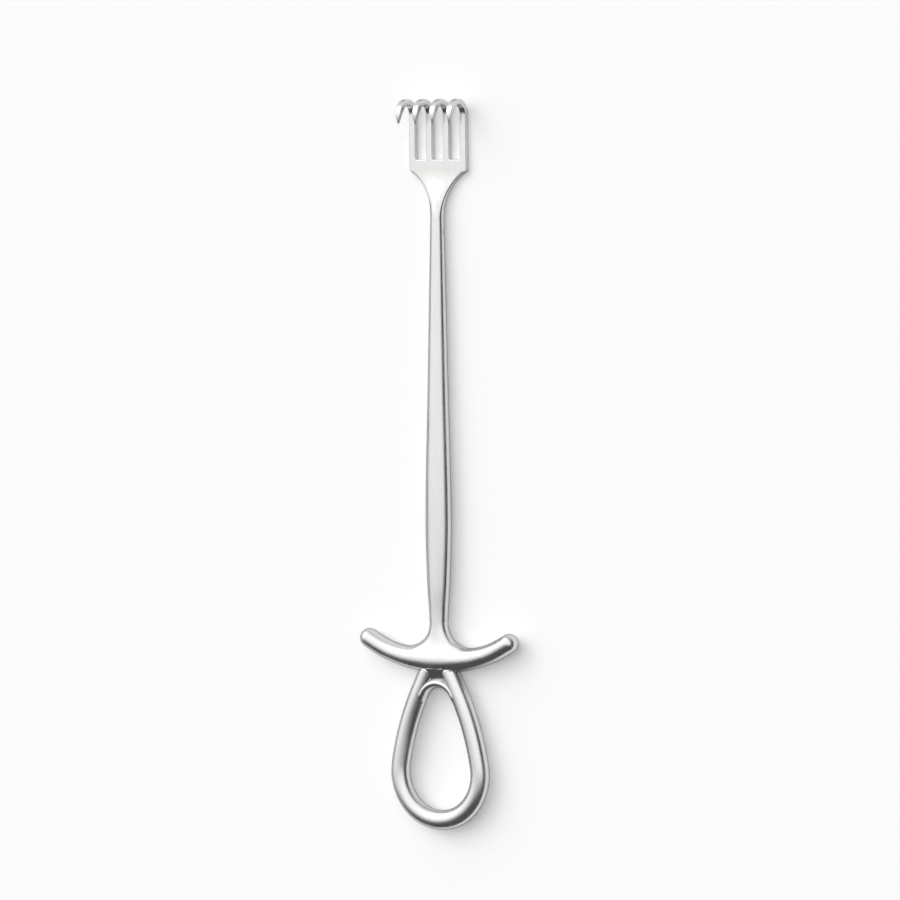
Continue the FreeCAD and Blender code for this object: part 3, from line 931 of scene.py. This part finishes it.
def build_shaft():
    """The oval shaft with its square tang and the spigot's socket, bored for the head's pin."""
    s, at = settings(), stations()
    half = s.shaft.tang_side / 2
    tang = [oval(place(station), ACROSS, half, UP, half, squareness=TANG_SQUARENESS)
            for station in (at.opening_top + s.shaft.tang_cover, at.shaft_foot)]
    radius, depth = s.head.spigot_diameter / 2 + s.pins.clearance, s.head.spigot_length + s.pins.clearance
    socket = [oval(place(station, 0.0, neck_level()), ACROSS, radius, UP, radius)
              for station in (at.head_seam, at.head_seam - depth)]
    made = lofted("shaft_forging", tang + shaft_rings() + socket)
    combined(made, "DIFFERENCE", [head_pin_bar("head_bore", s.pins.clearance)])
    set_grain(made)
    fitted(made, steel("shaft_steel", streak_length=24 * MM), "shaft")


# Rake head

def wall_profile(edge, thickness):
    """A rounded wall from its inner face down to its back: how far in, and how high."""
    upper = [(edge * (1 - sin(t)), thickness - edge * (1 - cos(t)))
             for t in even(0.0, pi / 2, EDGE_STEPS)]
    return upper + [(inset, thickness - level) for inset, level in reversed(upper)]


def ring_turns(wall_points):
    """Angles round an oval for a ring's points: down the -Y wall, along the back, up the +Y wall and back."""
    wall = even(pi - WALL_TURN, 2 * WALL_TURN, wall_points - 1)
    back_start, back_end = pi + WALL_TURN, 2 * pi - WALL_TURN
    half = wall + even(back_start, back_end - back_start, FLAT_POINTS + 1)[1:-1]
    return half + [turn + pi for turn in half]


def shank_rings():
    """Rings from the neck's oval to the plate's rounded block, each point sliding from one to the other."""
    s, w, at = settings().head, settings().shaft, stations()
    half_width, squaring_power = HEAD_WIDTH / 2, 1.5
    profile = wall_profile(s.edge, s.thickness)
    row = even(-half_width + s.edge, HEAD_WIDTH - 2 * s.edge, FLAT_POINTS + 1)[1:-1]
    block = [(inset - half_width, level) for inset, level in profile] + [(y, 0.0) for y in row]
    block += [(half_width - inset, level) for inset, level in reversed(profile)]
    block += [(y, s.thickness) for y in reversed(row)]
    spread = half_width - w.neck_width / 2
    run = sqrt(2 * s.shoulder_radius * spread - spread**2)
    rings = []
    for t in even(0.0, 1.0, SHANK_STEPS):
        station = at.head_seam + t * s.shank_length
        past = max(0.0, station - (at.shoulder - run))
        half = w.neck_width / 2 + s.shoulder_radius - sqrt(s.shoulder_radius**2 - past**2)
        ease = 0.5 - 0.5 * cos(pi * t)
        low = w.neck_lift * (1 - ease)
        high = (w.neck_lift + w.neck_thickness) * (1 - ease) + s.thickness * ease
        squareness = t**squaring_power
        ring = []
        for (y, level), turn in zip(block, ring_turns(len(profile))):
            y = y / half_width * squareness + cos(turn) * (1 - squareness)
            level = (2 * level / s.thickness - 1) * squareness + sin(turn) * (1 - squareness)
            ring.append(place(station, y * half, (low + high) / 2 + level * (high - low) / 2))
        rings.append(ring)
    return rings


def slot_walls():
    """The outer and slot walls in plan, from the shank on, as runs of (station, y, inward direction)."""
    s = settings().head
    half, root = HEAD_WIDTH / 2, stations().slot_end + s.slot_corner
    walls = [[(root, -half, (0, 1))]]
    for index in range(s.prongs - 1):
        low = -half + s.prong_width + index * prong_pitch()
        high = low + prong_pitch() - s.prong_width
        wall = []
        for side, y in ((1, low), (-1, high)):
            for turn in even(0.0, pi / 2, SLOT_STEPS)[::side]:
                middle = y + side * s.slot_corner
                inward = (-sin(turn), -side * cos(turn))
                wall.append((root + s.slot_corner * inward[0], middle + s.slot_corner * inward[1], inward))
        walls.append(wall)
    return walls + [[(root, half, (0, -1))]]


def prong_pitch():
    return (HEAD_WIDTH - settings().head.prong_width) / (settings().head.prongs - 1)


def head_grain(point):
    """Grain straight along the plate and on round the hooks."""
    outer = settings().head.hook_reach / 2
    bend = FAR_END + stations().hook_top - outer
    offset, rise = point.x - bend, outer - point.z
    if offset <= 0.0 and rise >= 0.0:
        return tuple(point)
    if offset <= 0.0:
        return bend + pi * outer - offset, point.y, outer + rise
    return bend + atan2(offset, rise) * outer, point.y, outer - hypot(offset, rise)


def build_head():
    """Shank, plate and spigot in one skin, with the hooked prongs welded on in a row."""
    s, seam = settings(), stations().head_seam
    profile = wall_profile(s.head.edge, s.head.thickness)
    wall = len(profile)
    radius, start = s.head.spigot_diameter / 2, seam - s.head.spigot_length
    spigot = [[place(station, size * cos(t), neck_level() + size * sin(t)) for t in ring_turns(wall)]
              for station, size in ((start, radius - s.pins.chamfer), (start + s.pins.chamfer, radius),
                                    (seam, radius))]
    bm = bmesh.new()
    last = skin(bm, spigot + shank_rings(), cap_end=False)[-1]
    right_wall, back_row = last[:wall], last[wall:wall + FLAT_POINTS]
    left_wall, inner_row = last[wall + FLAT_POINTS:][:wall], last[2 * wall + FLAT_POINTS:]
    strips = [[[bm.verts.new(place(station + inward[0] * inset, y + inward[1] * inset, level))
                for inset, level in profile] for station, y, inward in run] for run in slot_walls()]
    strips[0].insert(0, right_wall)
    strips[-1].append(left_wall[::-1])
    for strip in strips:
        for column, following in zip(strip, strip[1:]):
            for corners in zip(column, following, following[1:], column[1:]):
                bm.faces.new(corners)
    columns = [column for strip in strips for column in strip]
    bm.faces.new([column[0] for column in columns] + inner_row)
    bm.faces.new([column[-1] for column in reversed(columns)] + back_row)
    made = mesh_object("rake_head_forging", bm)
    prong = prong_object()
    material = steel("head_steel", streak_length=18 * MM)
    grown(made, row_tree(), copy=prong, count=s.head.prongs, pitch=prong_pitch(), material=material)
    discard(prong)
    combined(made, "DIFFERENCE", [head_pin_bar("head_bore", s.pins.clearance)])
    set_grain(made, head_grain)
    creased(made, degrees=50)
    modified(made, "WEIGHTED_NORMAL", keep_sharp=True)
    baked(made)
    fitted(made, material, "rake_head")


def prong_object():
    """One hooked prong with its middle at y 0, open at its root, bent from a straight tapered blank."""
    s, at = settings().head, stations()
    outer = s.hook_reach / 2
    bend = at.hook_top - outer
    root = at.slot_end + s.slot_corner
    quarter = pi / 2 * outer
    past_bend = s.hook_drop - outer
    full = 2 * quarter + past_bend
    middle = Vector((bend + FAR_END, 0.0, outer))
    straight = even(root - bend, bend - root, STRAIGHT_STEPS)[:-1]
    ends = [2 * quarter + past_bend * (1 - (1 - t) ** 2) * POINT_STOP
            for t in even(0.0, 1.0, POINT_STEPS)[1:]]
    rings = []
    for walked in straight + even(0.0, 2 * quarter, HOOK_STEPS) + ends:
        turn = min(max(walked, 0.0) / outer, pi)
        beyond = max(0.0, walked - 2 * quarter)
        drop = outer * (1 - sin(turn)) + beyond
        width, thickness = s.prong_width / 2, s.thickness
        if turn > pi / 2:
            width *= 1 - (drop / s.hook_drop) ** s.leaf_power
            thickness *= 1 - ((walked - quarter) / (full - quarter)) ** s.thin_power
        edge = min(s.edge, EDGE_SHARE * width, EDGE_SHARE * thickness)
        sink = s.tip_set * (beyond / past_bend) ** 2
        ring = []
        for side in (-1, 1):
            for inset, level in wall_profile(edge, thickness)[::-side]:
                y, radius = side * (width - inset), outer - level
                if walked < 0:
                    ring.append(Vector((FAR_END + bend + walked, y, level)))
                else:
                    ring.append(middle + Vector((radius * sin(turn) - beyond, y,
                                                 -radius * cos(turn) - sink)))
        rings.append(ring)
    bm = bmesh.new()
    skin(bm, rings, cap_start=False)
    return mesh_object("prong_form", bm)


# Pins

def saddle_pin_bar(name, clearance=0.0):
    """The saddle pin's bar or bore, right through the saddle and the tang."""
    s, at = settings(), stations()
    reach = s.crossbar.hub_depth / 2
    start = place(at.opening_top + (s.shaft.tang_cover + s.loop.saddle_height) / 2, 0.0, HANDLE_LEVEL - reach)
    return bar_between(name, start, UP, 2 * reach, s.pins.pin_diameter + 2 * clearance)


def head_pin_bar(name, clearance=0.0):
    """The head pin's bar or bore, across the neck and the spigot."""
    s, at = settings(), stations()
    reach = s.shaft.neck_width
    start = place(at.head_seam - s.head.spigot_length / 2, -reach, neck_level())
    return bar_between(name, start, ACROSS, 2 * reach, s.pins.pin_diameter + 2 * clearance)


def build_pins():
    """Both cross pins, dressed flush with what they hold, and the row of two dowels."""
    s = settings().pins
    material = steel("pin_steel", streak_length=2 * MM, streak_width=0.1 * MM, tint="pin_tint")
    head_pin = head_pin_bar("head_cross_pin")
    combined(head_pin, "INTERSECT", [lofted("neck_form", shaft_rings())])
    saddle_pin = saddle_pin_bar("saddle_cross_pin")
    combined(saddle_pin, "INTERSECT", [saddle_form("saddle_form", material)])
    start = place(stations().bar_underside - s.dowel_length / 2)
    dowel = bar_between("dowel_form", start, ALONG, s.dowel_length, s.dowel_diameter, s.chamfer)
    dowels = line_object("limb_dowels", [])
    grown(dowels, row_tree(), copy=dowel, count=2, pitch=2 * dowel_offset(), material=material)
    discard(dowel)
    for made, node in ((head_pin, "head_pin"), (saddle_pin, "saddle_pin"), (dowels, "loop_dowels")):
        set_grain(made)
        creased(made, degrees=30)
        fitted(made, material, node)


# Studio

def add_floor():
    mesh = bpy.data.meshes.new("studio_floor")
    level = CAD_BOX[0].z - FLOOR_GAP
    mesh.from_pydata([(x * FLOOR_HALF, y * FLOOR_HALF, level) for x, y in SQUARE], [], [(0, 1, 2, 3)])
    mesh.materials.append(floor_paint())
    added("studio_floor", mesh)


def add_key(s):
    """One soft lamp from the prongs' end, on the instrument's left."""
    lamp = bpy.data.lights.new("key", "SUN")
    lamp.energy = s.key_strength
    lamp.angle = s.key_softness
    made = added("key", lamp)
    made.rotation_mode = "QUATERNION"
    made.rotation_quaternion = Vector(s.key_direction).to_track_quat("Z", "Y")


def add_sky(s):
    """A sky bright overhead, dark low down but for the prongs' end, over a thin pale horizon."""
    world = bpy.data.worlds.new("studio_sky")
    world.use_nodes = True
    bpy.context.scene.world = world
    graph = Graph(world.node_tree)
    sight = graph.node("ShaderNodeTexCoord")

    def eased(direction, start, end, low, high):
        """From low to high as a line of sight's share of a direction goes from start to end."""
        towards = graph.node("ShaderNodeVectorMath", {0: sight, 1: direction}, operation="DOT_PRODUCT")
        return graph.node("ShaderNodeMapRange", {
            "Value": towards.outputs["Value"], "From Min": start, "From Max": end,
            "To Min": low, "To Max": high,
        }, interpolation_type="SMOOTHSTEP")

    far_side = eased((0.0, 0.40, 1.0), 0.10, 0.62, s.sky_dark, s.sky_bright)
    loop_end = eased(ALONG, -0.50, 0.10, s.sky_dark, far_side)
    low_dark = eased(ALONG, 0.35, 0.85, s.sky_dark, s.horizon)
    low_down = eased(UP, 0.10, 0.34, low_dark, loop_end)
    shown = eased(UP, 0.02, 0.08, s.horizon, low_down)
    graph.fill(world.node_tree.nodes["Background"], {"Color": WHITE, "Strength": shown})


def add_camera(s):
    """The camera at the picture's viewing angle."""
    back = Vector((sin(s.camera_rise), -sin(s.camera_side) * cos(s.camera_rise),
                   cos(s.camera_side) * cos(s.camera_rise)))
    up = (ALONG - back * back.x).normalized()
    right = up.cross(back)
    turn = Quaternion(back, s.camera_roll)
    right, up = turn @ right, turn @ up
    lens = bpy.data.cameras.new("camera")
    lens.lens = s.camera_lens
    lens.sensor_width = SENSOR
    aim = (CAD_BOX[0] + CAD_BOX[1]) / 2 + right * s.aim_right + up * s.aim_up
    rotation = Matrix((right, up, back)).transposed()
    made = added("camera", lens)
    made.matrix_world = Matrix.Translation(aim + back * s.camera_distance) @ rotation.to_4x4()
    bpy.context.scene.camera = made


def build_stage():
    """Pale floor, soft key lamp, gradient sky and the camera."""
    s = settings().studio
    add_floor()
    add_key(s)
    add_sky(s)
    add_camera(s)
    bpy.context.scene.view_settings.view_transform = "Standard"


# Operators and panel

class BuildOperator:
    """What the piece operators share."""

    bl_options = {"REGISTER", "UNDO"}


class RETRACTOR_OT_crossbar(BuildOperator, Operator):
    """Build the finger crossbar with its flared foot"""

    bl_idname = "retractor.crossbar"
    bl_label = "Finger Crossbar"

    def execute(self, context):
        build_crossbar()
        return {"FINISHED"}


class RETRACTOR_OT_loop(BuildOperator, Operator):
    """Build the finger loop's bent rod"""

    bl_idname = "retractor.loop"
    bl_label = "Finger Loop"

    def execute(self, context):
        build_loop()
        return {"FINISHED"}


class RETRACTOR_OT_saddle(BuildOperator, Operator):
    """Build the saddle between the loop's limbs"""

    bl_idname = "retractor.saddle"
    bl_label = "Loop Saddle"

    def execute(self, context):
        build_saddle()
        return {"FINISHED"}


class RETRACTOR_OT_shaft(BuildOperator, Operator):
    """Build the tapered oval shaft"""

    bl_idname = "retractor.shaft"
    bl_label = "Shaft"

    def execute(self, context):
        build_shaft()
        return {"FINISHED"}


class RETRACTOR_OT_head(BuildOperator, Operator):
    """Build the rake head with its hooked prongs"""

    bl_idname = "retractor.head"
    bl_label = "Rake Head"

    def execute(self, context):
        build_head()
        return {"FINISHED"}


class RETRACTOR_OT_pins(BuildOperator, Operator):
    """Build the cross pins and the loop's dowels"""

    bl_idname = "retractor.pins"
    bl_label = "Pins and Dowels"

    def execute(self, context):
        build_pins()
        return {"FINISHED"}


class RETRACTOR_OT_stage(BuildOperator, Operator):
    """Build the floor, the lamp, the sky and the camera"""

    bl_idname = "retractor.stage"
    bl_label = "Studio"

    def execute(self, context):
        build_stage()
        return {"FINISHED"}


BUILD_ORDER = (RETRACTOR_OT_crossbar, RETRACTOR_OT_loop, RETRACTOR_OT_saddle, RETRACTOR_OT_shaft,
               RETRACTOR_OT_head, RETRACTOR_OT_pins, RETRACTOR_OT_stage)


class RETRACTOR_PT_panel(Panel):
    """Lists the pieces and the settings in the sidebar"""

    bl_label = "Rake Retractor"
    bl_idname = "RETRACTOR_PT_panel"
    bl_space_type = "VIEW_3D"
    bl_region_type = "UI"
    bl_category = "Retractor"

    def draw(self, context):
        buttons = self.layout.column(align=True)
        for operator in BUILD_ORDER:
            buttons.operator(operator.bl_idname)
        for title in ("loop", "crossbar", "shaft", "head", "pins", "steel", "studio"):
            group = getattr(context.scene.rake_retractor, title)
            box = self.layout.box()
            box.label(text=title.capitalize())
            for name in group.bl_rna.properties.keys():
                if name not in ("rna_type", "name"):
                    box.prop(group, name)


CLASSES = (LoopSizes, CrossbarSizes, ShaftSizes, HeadSizes, PinSizes, SteelLook, StudioLook,
           RetractorSettings, *BUILD_ORDER, RETRACTOR_PT_panel)


def register():
    for listed in CLASSES:
        bpy.utils.register_class(listed)
    bpy.types.Scene.rake_retractor = PointerProperty(type=RetractorSettings)


def unregister():
    del bpy.types.Scene.rake_retractor
    for listed in reversed(CLASSES):
        bpy.utils.unregister_class(listed)


def main():
    """Builds every piece in order."""
    register()
    for operator in BUILD_ORDER:
        getattr(bpy.ops.retractor, operator.bl_idname.split(".")[1])()


if __name__ == "__main__":
    main()
